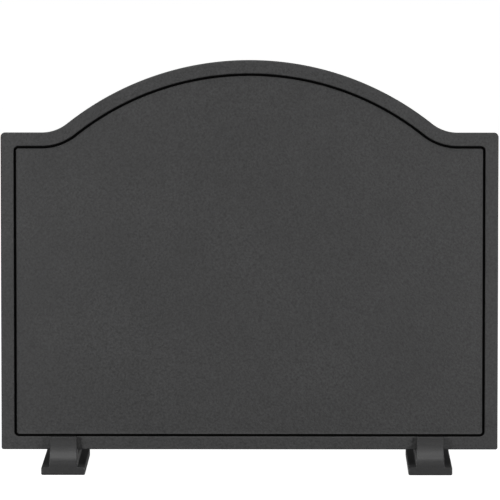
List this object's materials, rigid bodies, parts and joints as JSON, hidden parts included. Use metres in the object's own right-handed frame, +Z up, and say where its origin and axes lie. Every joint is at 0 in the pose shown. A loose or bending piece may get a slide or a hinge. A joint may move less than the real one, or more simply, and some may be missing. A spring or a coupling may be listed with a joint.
{
  "type": "fireback",
  "caption": "Arched cast iron fireback plate with a raised rim and a fine groove, standing upright in slotted feet with rear set bolts and lock nuts.",
  "frame": {"origin": "on the hearth, under the middle of the plate's width and of the feet's length; the plate stands 60 to 71 mm in front of it", "axes": "+X to the right along the plate, seen from the fire side; +Y from the plate's decorated front towards its back; +Z up"},
  "size_m": [0.61, 0.19, 0.5079],
  "materials": {
    "plate_iron": "sand-cast iron under matt black heat-proof paint",
    "foot_iron": "smoother sand-cast iron under matt black heat-proof paint",
    "bolt_steel": "dark zinc-plated steel"
  },
  "bodies": {
    "foot_left": {"foot_left": "foot_iron"},
    "plate": {"fireback_plate": "plate_iron"},
    "foot_right": {"foot_right": "foot_iron"},
    "set_bolt_left": {"set_bolt_left": "bolt_steel"},
    "set_bolt_right": {"set_bolt_right": "bolt_steel"},
    "lock_nut_left": {"lock_nut_left": "bolt_steel"},
    "lock_nut_right": {"lock_nut_right": "bolt_steel"}
  },
  "joints": [
    {"name": "plate_lift", "type": "slide", "parent": "foot_left", "child": "plate", "axis": [0, 0, 1], "range_m": [0, 0.06]},
    {"name": "foot_right_slide", "type": "slide", "parent": "foot_left", "child": "foot_right", "axis": [1, 0, 0], "range_m": [-0.18, 0.055]},
    {"name": "set_bolt_left_back_off", "type": "slide", "parent": "foot_left", "child": "set_bolt_left", "axis": [0, 1, 0], "range_m": [0, 0.012]},
    {"name": "set_bolt_right_back_off", "type": "slide", "parent": "foot_right", "child": "set_bolt_right", "axis": [0, 1, 0], "range_m": [0, 0.012]},
    {"name": "lock_nut_left_run_back", "type": "slide", "parent": "set_bolt_left", "child": "lock_nut_left", "axis": [0, 1, 0], "range_m": [0, 0.007]},
    {"name": "lock_nut_right_run_back", "type": "slide", "parent": "set_bolt_right", "child": "lock_nut_right", "axis": [0, 1, 0], "range_m": [0, 0.007]}
  ]
}
